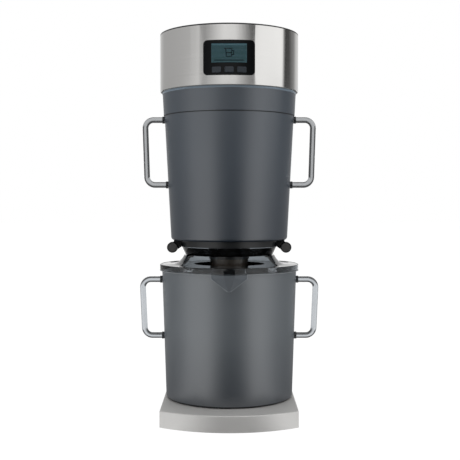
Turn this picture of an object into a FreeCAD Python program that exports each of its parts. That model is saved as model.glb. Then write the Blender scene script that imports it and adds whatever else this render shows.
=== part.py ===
import FreeCAD, Part
import Sketcher
import math
import os

# Cold brew coffee maker: a stainless plinth, a serving pitcher with its lid and cradle, a brew vessel
# with a turning drain valve, and a stainless control head that drives the agitator.
# Millimetres. Z is up from the table, the vessel axis is X = Y = 0, and the front faces -Y.

Vector = FreeCAD.Vector

sizes = {
    # Plinth
    "pad_thickness": 1.5,
    "pad_inset": 4.0,
    "base_gap_under": 0.8,
    "base_height": 28.2,
    "base_half_width": 113.7,
    "base_front_radius": 197.5,
    "base_front_reach": 157.0,
    "base_back_depth": 125.0,
    "base_back_corner": 14.0,
    "base_edge_round": 1.6,
    "sheet_wall": 1.2,
    "core_clearance": 0.3,
    "core_deck": 3.0,
    "core_slot_width": 26.0,
    "core_slot_pitch": 31.0,
    "core_slot_back": 108.0,
    "core_slot_front": 117.0,
    # Walls and fits shared by the moulded pieces
    "vessel_wall": 2.5,
    "floor_wall": 4.0,
    "foot_height": 1.5,
    "foot_width": 7.0,
    "free_gap": 0.4,
    "running_gap": 0.05,
    "overrun": 1.0,
    # Pitcher
    "pitcher_bottom_radius": 110.4,
    "pitcher_top_radius": 117.4,
    "pitcher_bottom_round": 4.5,
    "pitcher_band_height": 221.8,
    "pitcher_rim_height": 232.5,
    "pitcher_band_radius": 121.0,
    "band_wall": 2.2,
    "band_ledge": 2.4,
    "rim_round": 0.8,
    # Pouring spout
    "spout_half_width": 29.5,
    "spout_shoulder_drop": 17.5,
    "spout_tip_drop": 38.5,
    "spout_reach": 20.0,
    "spout_shoulder_reach": 11.0,
    "spout_nose_half": 11.0,
    "spout_shoulder_nose_half": 8.0,
    "spout_tip_half": 2.6,
    "spout_wall": 2.0,
    "spout_root": 16.0,
    # Loop handles
    "handle_rod_radius": 5.1,
    "handle_corner": 14.0,
    "ferrule_radius": 6.2,
    "ferrule_length": 4.0,
    "ferrule_depth": 2.2,
    "pitcher_handle_top": 204.8,
    "pitcher_handle_bottom": 106.2,
    "pitcher_grip_top": 151.5,
    "pitcher_grip_bottom": 148.5,
    "brew_handle_top": 209.2,
    "brew_handle_bottom": 96.0,
    "brew_grip_top": 146.3,
    "brew_grip_bottom": 143.7,
    # Pitcher lid with the cradle
    "lid_height": 8.0,
    "lid_plate": 3.0,
    "lid_hole_radius": 62.0,
    "lid_hole_collar": 3.0,
    "lid_skirt_radius": 112.6,
    "lid_skirt_wall": 2.2,
    "lid_skirt_drop": 7.0,
    "seal_thickness": 3.2,
    "cradle_height": 16.0,
    "cradle_foot_radius": 96.0,
    "cradle_top_radius": 79.0,
    "cradle_wall": 3.0,
    "cradle_lip": 9.0,
    "cradle_sweep_radius": 30.0,
    "cradle_half_opening": 61.0,
    # Receiver dish and outlet
    "dish_bottom_radius": 76.0,
    "dish_top_radius": 82.5,
    "dish_height": 14.0,
    "dish_round": 4.0,
    "dish_wall": 2.5,
    "dish_floor": 3.0,
    "funnel_fall": 2.0,
    "outlet_radius": 35.0,
    "drain_tube_radius": 36.2,
    "weep_slot_width": 6.0,
    "weep_slot_height": 3.0,
    "outlet_wall": 4.0,
    "outlet_drop": 7.0,
    "nozzle_radius": 33.5,
    "nozzle_length": 16.0,
    "nozzle_spigot": 3.0,
    "nozzle_wall": 3.0,
    "hub_radius": 10.0,
    "spoke_width": 3.0,
    "spoke_height": 8.0,
    "spoke_rise": 0.5,
    # Turning drain valve
    "valve_space": 12.0,
    "gasket_thickness": 2.0,
    "shutter_plate": 2.8,
    "valve_ring_radius": 84.5,
    "valve_ring_wall": 4.5,
    "valve_ring_lift": 1.0,
    "port_radius": 7.5,
    "port_circle": 21.0,
    "valve_arm_width": 8.0,
    "valve_arm_drop": 3.5,
    "valve_arm_slope": 2.0,
    "knob_centre": 98.6,
    "knob_drop": 12.5,
    "knob_radius": 9.3,
    "knob_length": 17.0,
    "knob_lip": 1.0,
    "knob_face_depth": 0.6,
    "bolt_head_radius": 10.0,
    "bolt_head_height": 5.0,
    "bolt_radius": 5.0,
    "bolt_engagement": 16.0,
    # Brew vessel
    "brew_bottom_radius": 101.3,
    "brew_shoulder_radius": 112.5,
    "brew_bottom_round": 6.0,
    "brew_shoulder_height": 215.6,
    "brew_collar_radius": 114.0,
    "brew_rim_radius": 116.0,
    "brew_rim_height": 256.0,
    # Floor filter
    "filter_radius": 92.5,
    "filter_frame_width": 6.0,
    "filter_height": 5.0,
    "filter_mesh_height": 1.0,
    "filter_rib_width": 3.0,
    # Control head
    "ring_radius": 120.0,
    "ring_height": 97.4,
    "ring_gap_under": 0.3,
    "head_seal_height": 1.5,
    "chassis_plate": 3.0,
    "chassis_spigot_drop": 10.0,
    "chassis_spigot_gap": 0.7,
    "chassis_spigot_wall": 2.5,
    "cover_rise": 1.3,
    "cover_plate": 3.0,
    "cover_skirt": 8.0,
    "cover_edge_round": 1.0,
    "post_radius": 5.0,
    "post_circle": 98.0,
    "screw_radius": 1.6,
    "screw_head_radius": 3.6,
    "screw_head_height": 2.4,
    "screw_length": 14.0,
    # Control panel
    "bezel_half_width": 42.0,
    "bezel_height": 56.4,
    "bezel_corner": 7.0,
    "bezel_above_ring_foot": 14.7,
    "bezel_proud": 1.2,
    "bezel_back_depth": 110.0,
    "bezel_leg_inset": 1.5,
    "bezel_leg_width": 5.0,
    "bezel_leg_height": 20.0,
    "window_width": 57.2,
    "window_height": 31.0,
    "window_above_bezel_foot": 20.0,
    "window_recess": 3.4,
    "window_thickness": 2.0,
    "board_depth": 101.6,
    "board_thickness": 1.6,
    "board_half_width": 33.0,
    "board_height": 52.0,
    "board_above_bezel_foot": 2.0,
    "bracket_thickness": 4.0,
    "button_width": 14.8,
    "button_height": 9.7,
    "button_pitch": 20.5,
    "button_above_bezel_foot": 8.6,
    "button_corner": 1.2,
    "button_proud": 1.2,
    "button_hole_gap": 0.25,
    "button_flange_reach": 1.2,
    "button_flange_depth": 1.4,
    "button_free_play": 0.3,
    "button_travel": 1.2,
    "switch_width": 6.0,
    # Drive
    "gearbox_radius": 24.0,
    "gearbox_height": 26.0,
    "motor_radius": 18.0,
    "motor_height": 44.0,
    "motor_boss_height": 3.0,
    "shaft_radius": 4.0,
    "shaft_engagement": 12.0,
    "shaft_end_play": 1.0,
    "shaft_foot_height": 24.0,
    "shaft_seal_radius": 9.0,
    "paddle_radius": 55.0,
    "paddle_hub_radius": 9.0,
    "paddle_hub_height": 26.0,
    "paddle_blade_height": 20.0,
    "paddle_blade_thickness": 3.0,
    "paddle_blade_pitch": 25.0,
    "paddle_blade_root": 6.0,
    # Batteries
    "cell_radius": 13.0,
    "cell_height": 50.0,
    "cell_pitch": 28.0,
    "cell_row_depth": 66.0,
    "holder_wall": 2.0,
    "holder_height": 14.0,
}
whole_numbers = {"blade_count": 4, "port_count": 3, "cell_count": 4, "slot_count": 7, "rib_count": 6,
                 "arm_count": 2, "post_count": 4}

doc = FreeCAD.newDocument("cold_brew_maker")
sheet = doc.addObject("Spreadsheet::Sheet", "Sizes")
for row, (alias, number) in enumerate({**sizes, **whole_numbers}.items(), 1):
    sheet.set(f"A{row}", alias)
    sheet.set(f"B{row}", str(number))
    sheet.setAlias(f"B{row}", alias)
doc.recompute()


class Size:
    # A number together with the sheet expression that gives it
    def __init__(self, value, text):
        self.value = float(value)
        self.text = text

    def __add__(self, other):
        other = as_size(other)
        return Size(self.value + other.value, f"({self.text} + {other.text})")

    def __sub__(self, other):
        other = as_size(other)
        return Size(self.value - other.value, f"({self.text} - {other.text})")

    def __mul__(self, other):
        other = as_size(other)
        return Size(self.value * other.value, f"({self.text} * {other.text})")

    def __truediv__(self, other):
        other = as_size(other)
        return Size(self.value / other.value, f"({self.text} / {other.text})")

    def __neg__(self):
        return Size(-self.value, f"(0 - {self.text})")

    def __radd__(self, other):
        return as_size(other) + self

    def __rsub__(self, other):
        return as_size(other) - self

    def __rmul__(self, other):
        return as_size(other) * self


def as_size(item):
    return item if isinstance(item, Size) else Size(item, f"{float(item):g}")


def sine(angle):
    return Size(math.sin(math.radians(angle.value)), f"sin({angle.text} * 1 deg)")


def cosine(angle):
    return Size(math.cos(math.radians(angle.value)), f"cos({angle.text} * 1 deg)")


class Sheet:
    # Gives each alias of the sheet as a Size
    def __getattr__(self, alias):
        return Size(sheet.get(alias), f"Sizes.{alias}")


S = Sheet()

# Heights that several pieces share
base_top = S.base_height
pitcher_rim = base_top + S.pitcher_rim_height
pitcher_band = base_top + S.pitcher_band_height
lid_ledge = pitcher_band + S.band_ledge
lid_top = lid_ledge + S.lid_height
cradle_top = lid_top + S.cradle_height
dish_top = cradle_top + S.dish_height
brew_bottom = dish_top + S.valve_space
gasket_bottom = brew_bottom + S.foot_height - S.gasket_thickness
shutter_top = gasket_bottom - S.running_gap
shutter_bottom = shutter_top - S.shutter_plate
knob_height = brew_bottom - S.knob_drop
brew_floor_top = brew_bottom + S.foot_height + S.floor_wall
brew_shoulder = brew_bottom + S.brew_shoulder_height
brew_rim = brew_bottom + S.brew_rim_height
head_seal_top = brew_rim + S.head_seal_height
chassis_top = head_seal_top + S.chassis_plate
ring_foot = brew_rim + S.ring_gap_under
ring_top = ring_foot + S.ring_height
cover_top = ring_top + S.cover_rise
cover_under = cover_top - S.cover_plate
bezel_foot = ring_foot + S.bezel_above_ring_foot
window_foot = bezel_foot + S.window_above_bezel_foot
button_middle = bezel_foot + S.button_above_bezel_foot
bezel_radius = S.ring_radius + S.bezel_proud

parts = {}


def keep(node, thing):
    thing.Label = node
    parts[node] = thing
    return thing


def bind(thing, name, size):
    size = as_size(size)
    thing.setExpression(name, size.text)


def new_body(name):
    return doc.addObject("PartDesign::Body", name)


def origin_plane(body, role):
    return next(item for item in body.Origin.OriginFeatures if item.Role == role)


def sketch_on(body, name, role, offset=None):
    sketch = body.newObject("Sketcher::SketchObject", name)
    sketch.AttachmentSupport = [(origin_plane(body, role), "")]
    sketch.MapMode = "FlatFace"
    if offset is not None:
        bind(sketch, "AttachmentOffset.Base.z", offset)
    return sketch


def fix_point(sketch, side, vertex, across, up):
    for kind, size in (("DistanceX", as_size(across)), ("DistanceY", as_size(up))):
        number = sketch.addConstraint(Sketcher.Constraint(kind, -1, 1, side, vertex, size.value))
        if size.value != 0:
            bind(sketch, f"Constraints[{number}]", size)


def arc_between(start, end, radius):
    # The arc from start to end whose centre lies left of the way for a positive radius
    middle = (start + end) * 0.5
    way = end - start
    left = Vector(-way.y, way.x, 0).normalize()
    reach = math.sqrt(radius * radius - way.Length * way.Length / 4)
    centre = middle + left * math.copysign(reach, radius)
    angles = [math.atan2(point.y - centre.y, point.x - centre.x) for point in (start, end)]
    circle = Part.Circle(centre, Vector(0, 0, 1), abs(radius))
    if radius > 0:
        return Part.ArcOfCircle(circle, *angles), (1, 2)
    return Part.ArcOfCircle(circle, *reversed(angles)), (2, 1)


def outline(sketch, points):
    # A closed outline. A third value in a point makes the side that leaves it an arc of that radius.
    first_side = sketch.GeometryCount
    places = [Vector(as_size(point[0]).value, as_size(point[1]).value, 0) for point in points]
    ends = []
    for number, point in enumerate(points):
        start = places[number]
        end = places[(number + 1) % len(points)]
        if len(point) == 3:
            side, vertices = arc_between(start, end, as_size(point[2]).value)
        else:
            side, vertices = Part.LineSegment(start, end), (1, 2)
        sketch.addGeometry(side, False)
        ends.append(vertices)
    for number, point in enumerate(points):
        side = first_side + number
        after = (number + 1) % len(points)
        sketch.addConstraint(Sketcher.Constraint("Coincident", side, ends[number][1],
                                                 first_side + after, ends[after][0]))
        fix_point(sketch, side, ends[number][0], point[0], point[1])
        if len(point) == 3:
            radius = as_size(point[2])
            radius = radius if radius.value > 0 else -radius
            held = sketch.addConstraint(Sketcher.Constraint("Radius", side, radius.value))
            bind(sketch, f"Constraints[{held}]", radius)


def circle(sketch, radius, across=0, up=0):
    place = Vector(as_size(across).value, as_size(up).value, 0)
    side = sketch.addGeometry(Part.Circle(place, Vector(0, 0, 1), as_size(radius).value), False)
    held = sketch.addConstraint(Sketcher.Constraint("Radius", side, as_size(radius).value))
    bind(sketch, f"Constraints[{held}]", radius)
    fix_point(sketch, side, 3, across, up)


def rectangle(sketch, left, right, low, high):
    outline(sketch, [(left, low), (right, low), (right, high), (left, high)])


def revolve_into(body, name, points, angle=360):
    sketch = sketch_on(body, name + "_profile", "XZ_Plane")
    outline(sketch, points)
    turn = body.newObject("PartDesign::Revolution", name)
    turn.Profile = sketch
    turn.ReferenceAxis = (sketch, ["V_Axis"])
    turn.Angle = angle
    sketch.Visibility = False
    return turn


def revolved(name, points):
    body = new_body(name)
    revolve_into(body, name + "_turned", points)
    return body


def pad_into(body, name, role, draw, length, offset=None, backwards=False):
    sketch = sketch_on(body, name + "_outline", role, offset)
    draw(sketch)
    pad = body.newObject("PartDesign::Pad", name)
    pad.Profile = sketch
    bind(pad, "Length", length)
    pad.Reversed = backwards
    return pad


def pocket_into(body, name, role, draw, length, offset=None, backwards=False):
    sketch = sketch_on(body, name + "_outline", role, offset)
    draw(sketch)
    doc.recompute()
    before = body.Shape.Volume
    pocket = body.newObject("PartDesign::Pocket", name)
    pocket.Profile = sketch
    bind(pocket, "Length", length)
    pocket.Reversed = backwards
    doc.recompute()
    if not body.Shape.Volume < before:
        raise RuntimeError(f"{name} cuts nothing")
    return pocket


def polar(body, feature, name, count):
    pattern = body.newObject("PartDesign::PolarPattern", name)
    pattern.Originals = [feature]
    pattern.Axis = (next(item for item in body.Origin.OriginFeatures if item.Role == "Z_Axis"), [""])
    pattern.Angle = 360
    bind(pattern, "Occurrences", count)
    body.Tip = pattern
    return pattern


def fillet_into(body, name, radius, wanted):
    # Rounds the edges of the body's last feature that the wanted test picks
    doc.recompute()
    base = body.Tip
    names = [f"Edge{number}" for number, edge in enumerate(base.Shape.Edges, 1) if wanted(edge)]
    if not names:
        raise RuntimeError(f"{name} finds no edge")
    fillet = body.newObject("PartDesign::Fillet", name)
    fillet.Base = (base, names)
    bind(fillet, "Radius", radius)
    return fillet


def ring_edge(radius, height):
    def wanted(edge):
        curve = edge.Curve
        if not isinstance(curve, Part.Circle):
            return False
        level = abs(curve.Center.z - as_size(height).value) < 0.01 and abs(abs(curve.Axis.z) - 1) < 1e-6
        return level and abs(curve.Radius - as_size(radius).value) < 0.01
    return wanted


def solid_cylinder(name, radius, foot, length, across=0, along=0):
    cylinder = doc.addObject("Part::Cylinder", name)
    bind(cylinder, "Radius", radius)
    bind(cylinder, "Height", length)
    bind(cylinder, "Placement.Base.x", across)
    bind(cylinder, "Placement.Base.y", along)
    bind(cylinder, "Placement.Base.z", foot)
    return cylinder


def solid_box(name, low, high):
    box = doc.addObject("Part::Box", name)
    for side, axis, start, end in zip(("Length", "Width", "Height"), "xyz", low, high):
        bind(box, side, as_size(end) - start)
        bind(box, f"Placement.Base.{axis}", start)
    return box


def fused(name, shapes):
    fuse = doc.addObject("Part::MultiFuse", name)
    fuse.Shapes = shapes
    return fuse


def cut(name, base, tool):
    result = doc.addObject("Part::Cut", name)
    result.Base = base
    result.Tool = tool
    return result


def turned(thing, degrees):
    thing.Placement = FreeCAD.Placement(Vector(0, 0, 0), FreeCAD.Rotation(Vector(0, 0, 1), degrees))
    return thing


def wall_radius(foot, foot_radius, top, top_radius, height):
    # Outer radius of a straight tapered wall at a height
    return foot_radius + (top_radius - foot_radius) * (height - foot) / (top - foot)


# The plinth's outline seen from above, drawn in by an inset

def base_outline(sketch, inset):
    half = S.base_half_width - inset
    front_radius = S.base_front_radius - inset
    arc_depth = Size(math.sqrt(front_radius.value ** 2 - half.value ** 2),
                      f"sqrt({front_radius.text}^2 - {half.text}^2)")
    front = S.base_front_radius - S.base_front_reach - arc_depth
    back = S.base_back_depth - inset
    corner = S.base_back_corner - inset
    outline(sketch, [(-half, front, front_radius), (half, front), (half, back - corner, corner),
                     (half - corner, back), (corner - half, back, corner), (-half, back - corner)])


def make_base_pad():
    body = new_body("base_pad")
    pad_into(body, "base_pad_sheet", "XY_Plane",
             lambda sketch: base_outline(sketch, S.pad_inset), S.pad_thickness)
    keep("base_pad", body)


def make_base_housing():
    body = new_body("base_housing")
    pad_into(body, "base_housing_block", "XY_Plane", lambda sketch: base_outline(sketch, as_size(0)),
             base_top - S.base_gap_under, offset=S.base_gap_under)
    fillet_into(body, "base_housing_bend", S.base_edge_round,
                lambda edge: abs(edge.BoundBox.ZMin - base_top.value) < 0.01
                and abs(edge.BoundBox.ZMax - base_top.value) < 0.01)
    pocket_into(body, "base_housing_hollow", "XY_Plane",
                lambda sketch: base_outline(sketch, S.sheet_wall),
                base_top - S.base_gap_under - S.sheet_wall, offset=S.base_gap_under, backwards=True)
    keep("base_housing", body)


def make_base_core():
    # Moulded support under the steel top, with long ribs left between the slots
    body = new_body("base_core")
    height = base_top - S.sheet_wall - S.pad_thickness
    pad_into(body, "base_core_block", "XY_Plane",
             lambda sketch: base_outline(sketch, S.sheet_wall + S.core_clearance),
             height, offset=S.pad_thickness)
    half_row = S.core_slot_pitch * (S.slot_count - 1) / 2
    start = -half_row - S.core_slot_width / 2
    slot = pocket_into(body, "base_core_slot", "XY_Plane",
                       lambda sketch: rectangle(sketch, start, start + S.core_slot_width,
                                                -S.core_slot_front, S.core_slot_back),
                       height - S.core_deck, offset=S.pad_thickness, backwards=True)
    row = body.newObject("PartDesign::LinearPattern", "base_core_slots")
    row.Originals = [slot]
    row.Direction = (next(item for item in body.Origin.OriginFeatures if item.Role == "X_Axis"), [""])
    bind(row, "Length", half_row * 2)
    bind(row, "Occurrences", S.slot_count)
    body.Tip = row
    keep("base_core", body)


# A loop handle is a round rod swept along two level bars, two corners and a leaning grip

def make_ferrules(name, angle, seats, heights):
    # Two cups, each with a flat flange on the wall and a socket round the rod's end
    body = new_body(name)
    for number, (seat, height) in enumerate(zip(seats, heights), 1):
        pad_into(body, f"{name}_cup_{number}", "YZ_Plane",
                 lambda sketch, z=height: circle(sketch, S.ferrule_radius, 0, z),
                 S.ferrule_length, offset=seat)
    for number, (seat, height) in enumerate(zip(seats, heights), 1):
        pocket_into(body, f"{name}_socket_{number}", "YZ_Plane",
                    lambda sketch, z=height: circle(sketch, S.handle_rod_radius + S.running_gap, 0, z),
                    S.ferrule_length, offset=seat + S.ferrule_length - S.ferrule_depth, backwards=True)
    turned(body, angle)
    keep(name, body)


def make_handles(owner, heights, grips, wall_at):
    # Both handles of one vessel, at the right and at the left
    seats = [wall_at(height + S.ferrule_radius) + S.running_gap for height in heights]
    rod_start = seats[0] + S.ferrule_length - S.ferrule_depth
    lower_start = seats[1] + S.ferrule_length - S.ferrule_depth
    for side, angle in (("right", 0), ("left", 180)):
        name = f"{owner}_handle_{side}"
        body = new_body(name)
        path = sketch_on(body, name + "_path", "XZ_Plane")
        handle_path(path, (rod_start, lower_start), heights, grips)
        section = sketch_on(body, name + "_section", "YZ_Plane", offset=rod_start)
        circle(section, S.handle_rod_radius, 0, heights[0])
        rod = body.newObject("PartDesign::AdditivePipe", name + "_rod")
        rod.Profile = section
        rod.Spine = (path, [f"Edge{number}" for number in range(1, 6)])
        turned(body, angle)
        keep(name, body)
        make_ferrules(f"{owner}_ferrules_{side}", angle, seats, heights)


def handle_path(sketch, starts, heights, grips):
    # Upper bar, corner, grip, corner, lower bar; each bar starts in its ferrule
    corner = S.handle_corner
    top, bottom = heights
    grip_top, grip_bottom = grips
    upper = Vector(grip_top.value - corner.value, top.value - corner.value, 0)
    lower = Vector(grip_bottom.value - corner.value, bottom.value + corner.value, 0)
    up = Vector(0, 0, 1)
    quarter = math.pi / 2
    sides = [
        Part.LineSegment(Vector(starts[0].value, top.value, 0), Vector(upper.x, top.value, 0)),
        Part.ArcOfCircle(Part.Circle(upper, up, corner.value), 0, quarter),
        Part.LineSegment(Vector(grip_top.value, upper.y, 0), Vector(grip_bottom.value, lower.y, 0)),
        Part.ArcOfCircle(Part.Circle(lower, up, corner.value), 3 * quarter, 4 * quarter),
        Part.LineSegment(Vector(lower.x, bottom.value, 0), Vector(starts[1].value, bottom.value, 0)),
    ]
    for side in sides:
        sketch.addGeometry(side, False)
    for first, first_end, second, second_end in ((0, 2, 1, 2), (1, 1, 2, 1), (2, 2, 3, 2), (3, 1, 4, 1)):
        sketch.addConstraint(Sketcher.Constraint("Tangent", first, first_end, second, second_end))
    for side in (1, 3):
        held = sketch.addConstraint(Sketcher.Constraint("Radius", side, corner.value))
        bind(sketch, f"Constraints[{held}]", corner)
    fix_point(sketch, 0, 1, starts[0], top)
    fix_point(sketch, 4, 2, starts[1], bottom)
    for side in (0, 4):
        sketch.addConstraint(Sketcher.Constraint("Horizontal", side))
    for vertex, size in ((1, grip_top), (2, grip_bottom)):
        held = sketch.addConstraint(Sketcher.Constraint("DistanceX", -1, 1, 2, vertex, size.value))
        bind(sketch, f"Constraints[{held}]", size)


def pitcher_wall(height):
    return wall_radius(base_top, S.pitcher_bottom_radius, pitcher_band, S.pitcher_top_radius, height)


def brew_wall(height):
    return wall_radius(brew_bottom, S.brew_bottom_radius, brew_shoulder, S.brew_shoulder_radius, height)


def spout_body(name, inset, tip_lift, rise, root):
    # A beak that grows from a narrow tip on the wall to a wide mouth at the rim
    levels = [
        (pitcher_rim - S.spout_tip_drop + tip_lift, S.spout_tip_half, S.spout_tip_half * 0.5, as_size(0.5)),
        (pitcher_rim - S.spout_shoulder_drop, S.spout_half_width, S.spout_shoulder_nose_half,
         S.spout_shoulder_reach),
        (pitcher_rim + rise, S.spout_half_width, S.spout_nose_half, S.spout_reach),
    ]
    body = new_body(name)
    sketches = []
    for number, (level, half, nose_half, reach) in enumerate(levels, 1):
        sketch = sketch_on(body, f"{name}_section_{number}", "XY_Plane", offset=level)
        half = half - inset * (0.5 if number == 1 else 1)
        nose_half = nose_half - inset * (0.25 if number == 1 else 0.5)
        front = -(S.pitcher_top_radius + reach - inset)
        flank = -(S.pitcher_top_radius - inset)
        outline(sketch, [(-half, -root), (-half, flank), (-nose_half, front), (nose_half, front),
                         (half, flank), (half, -root)])
        sketches.append(sketch)
    loft = body.newObject("PartDesign::AdditiveLoft", name + "_loft")
    loft.Profile = sketches[0]
    loft.Sections = sketches[1:]
    loft.Ruled = True
    return body


def make_pitcher_vessel():
    foot_out = S.pitcher_bottom_radius - S.pitcher_bottom_round
    foot_in = foot_out - S.foot_width
    outer = revolved("pitcher_outer", [
        (0, base_top + S.foot_height), (foot_in, base_top + S.foot_height), (foot_in, base_top),
        (S.pitcher_bottom_radius, base_top), (S.pitcher_top_radius, pitcher_band),
        (S.pitcher_band_radius, pitcher_band), (S.pitcher_band_radius, pitcher_rim), (0, pitcher_rim)])
    fillet_into(outer, "pitcher_bottom_rounding", S.pitcher_bottom_round,
                ring_edge(S.pitcher_bottom_radius, base_top))
    fillet_into(outer, "pitcher_rim_rounding", S.rim_round,
                ring_edge(S.pitcher_band_radius, pitcher_rim))
    band_inner = S.pitcher_band_radius - S.band_wall
    floor = base_top + S.foot_height + S.floor_wall
    inside = revolved("pitcher_inside", [
        (0, floor), (S.pitcher_bottom_radius - S.vessel_wall, floor),
        (S.pitcher_top_radius - S.vessel_wall, lid_ledge), (band_inner, lid_ledge),
        (band_inner, pitcher_rim + S.overrun), (0, pitcher_rim + S.overrun)])
    fillet_into(inside, "pitcher_floor_rounding", S.pitcher_bottom_round - S.vessel_wall,
                ring_edge(S.pitcher_bottom_radius - S.vessel_wall, floor))
    beak = spout_body("spout_outer", as_size(0), as_size(0), as_size(0), band_inner - S.spout_root)
    channel = spout_body("spout_channel", S.spout_wall, S.spout_wall * 2, S.overrun,
                         band_inner - S.spout_root + S.spout_wall * 2)
    solid = cut("pitcher_hollowed", fused("pitcher_with_beak", [outer, beak]), inside)
    keep("pitcher_vessel", cut("pitcher_vessel", solid, channel))


def make_pitcher_lid():
    rim = S.pitcher_band_radius - S.band_wall - S.free_gap
    under = lid_top - S.lid_plate
    skirt_in = S.lid_skirt_radius - S.lid_skirt_wall
    skirt_foot = lid_ledge - S.lid_skirt_drop
    lip_in = S.cradle_top_radius - S.cradle_lip
    body = revolved("pitcher_lid", [
        (S.lid_hole_radius, under - S.lid_hole_collar),
        (S.lid_hole_radius + S.lid_plate, under - S.lid_hole_collar),
        (S.lid_hole_radius + S.lid_plate, under),
        (skirt_in, under), (skirt_in, skirt_foot), (S.lid_skirt_radius, skirt_foot),
        (S.lid_skirt_radius, lid_ledge), (rim, lid_ledge), (rim, lid_top),
        (S.cradle_foot_radius, lid_top, -S.cradle_sweep_radius), (S.cradle_top_radius, cradle_top),
        (lip_in, cradle_top), (lip_in, cradle_top - S.cradle_wall),
        (S.cradle_top_radius - S.cradle_wall, cradle_top - S.cradle_wall,
         S.cradle_sweep_radius + S.cradle_wall),
        (S.cradle_foot_radius - S.cradle_wall * 1.5, lid_top), (S.lid_hole_radius, lid_top)])
    reach = S.pitcher_band_radius
    across = reach * sine(S.cradle_half_opening)
    along = -(reach * cosine(S.cradle_half_opening))
    pocket_into(body, "cradle_window", "XY_Plane",
                lambda sketch: outline(sketch, [(0, 0), (-across, along), (-across, -reach),
                                                (across, -reach), (across, along)]),
                S.cradle_height + S.overrun, offset=lid_top, backwards=True)
    keep("pitcher_lid", body)
    seal_low = lid_ledge - S.lid_skirt_drop + S.lid_plate
    keep("lid_seal", revolved("lid_seal", [
        (S.lid_skirt_radius + S.running_gap, seal_low),
        (S.pitcher_top_radius - S.vessel_wall - S.free_gap, seal_low),
        (S.pitcher_top_radius - S.vessel_wall - S.free_gap, seal_low + S.seal_thickness),
        (S.lid_skirt_radius + S.running_gap, seal_low + S.seal_thickness)]))


def port_place(degrees):
    angle = math.radians(degrees)
    return S.port_circle * round(math.cos(angle), 9), S.port_circle * round(math.sin(angle), 9)


def drill_ports(body, name, degrees, foot, length, centre_radius):
    across, along = port_place(degrees)
    port = pocket_into(body, name + "_port", "XY_Plane",
                       lambda sketch: circle(sketch, S.port_radius, across, along),
                       length, offset=foot, backwards=True)
    polar(body, port, name + "_ports", S.port_count)
    pocket_into(body, name + "_centre", "XY_Plane", lambda sketch: circle(sketch, centre_radius),
                length, offset=foot, backwards=True)


def make_receiver():
    outlet_in = S.outlet_radius - S.outlet_wall
    outlet_foot = cradle_top - S.outlet_drop
    floor = cradle_top + S.dish_floor
    tube_top = shutter_bottom - S.free_gap
    dish = revolved("receiver_bowl", [
        (outlet_in, outlet_foot), (S.outlet_radius, outlet_foot), (S.outlet_radius, cradle_top),
        (S.dish_bottom_radius, cradle_top), (S.dish_top_radius, dish_top),
        (S.dish_top_radius - S.dish_wall, dish_top),
        (S.dish_bottom_radius - S.dish_wall, floor + S.funnel_fall), (S.drain_tube_radius, floor),
        (S.drain_tube_radius, tube_top), (outlet_in, tube_top)])
    fillet_into(dish, "receiver_bowl_rounding", S.dish_round, ring_edge(S.dish_bottom_radius, cradle_top))
    weep = pocket_into(dish, "weep_slot", "XY_Plane",
                       lambda sketch: rectangle(sketch, outlet_in - S.overrun,
                                                S.drain_tube_radius + S.overrun,
                                                -(S.weep_slot_width / 2), S.weep_slot_width / 2),
                       S.weep_slot_height, offset=floor, backwards=True)
    polar(dish, weep, "weep_slots", S.port_count)
    spoke_foot = outlet_foot + S.nozzle_spigot + S.spoke_rise
    spokes = new_body("receiver_spokes")
    spoke = pad_into(spokes, "receiver_spoke", "XY_Plane",
                     lambda sketch: rectangle(sketch, 0, outlet_in + S.outlet_wall / 2,
                                              -(S.spoke_width / 2), S.spoke_width / 2),
                     S.spoke_height, offset=spoke_foot)
    polar(spokes, spoke, "receiver_spoke_set", S.port_count)
    hub = solid_cylinder("receiver_hub", S.hub_radius, spoke_foot, gasket_bottom - spoke_foot)
    bore = solid_cylinder("receiver_bore", S.bolt_radius + S.running_gap, spoke_foot - S.overrun,
                          gasket_bottom - spoke_foot + S.overrun * 2)
    keep("receiver_dish", cut("receiver_dish", fused("receiver_joined", [dish, spokes, hub]), bore))
    nozzle_foot = outlet_foot - S.nozzle_length
    spigot_out = outlet_in - S.running_gap
    keep("outlet_nozzle", revolved("outlet_nozzle", [
        (S.nozzle_radius - S.nozzle_wall, nozzle_foot), (S.nozzle_radius, nozzle_foot),
        (S.nozzle_radius, outlet_foot), (spigot_out, outlet_foot),
        (spigot_out, outlet_foot + S.nozzle_spigot),
        (spigot_out - S.nozzle_wall, outlet_foot + S.nozzle_spigot)]))


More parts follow.
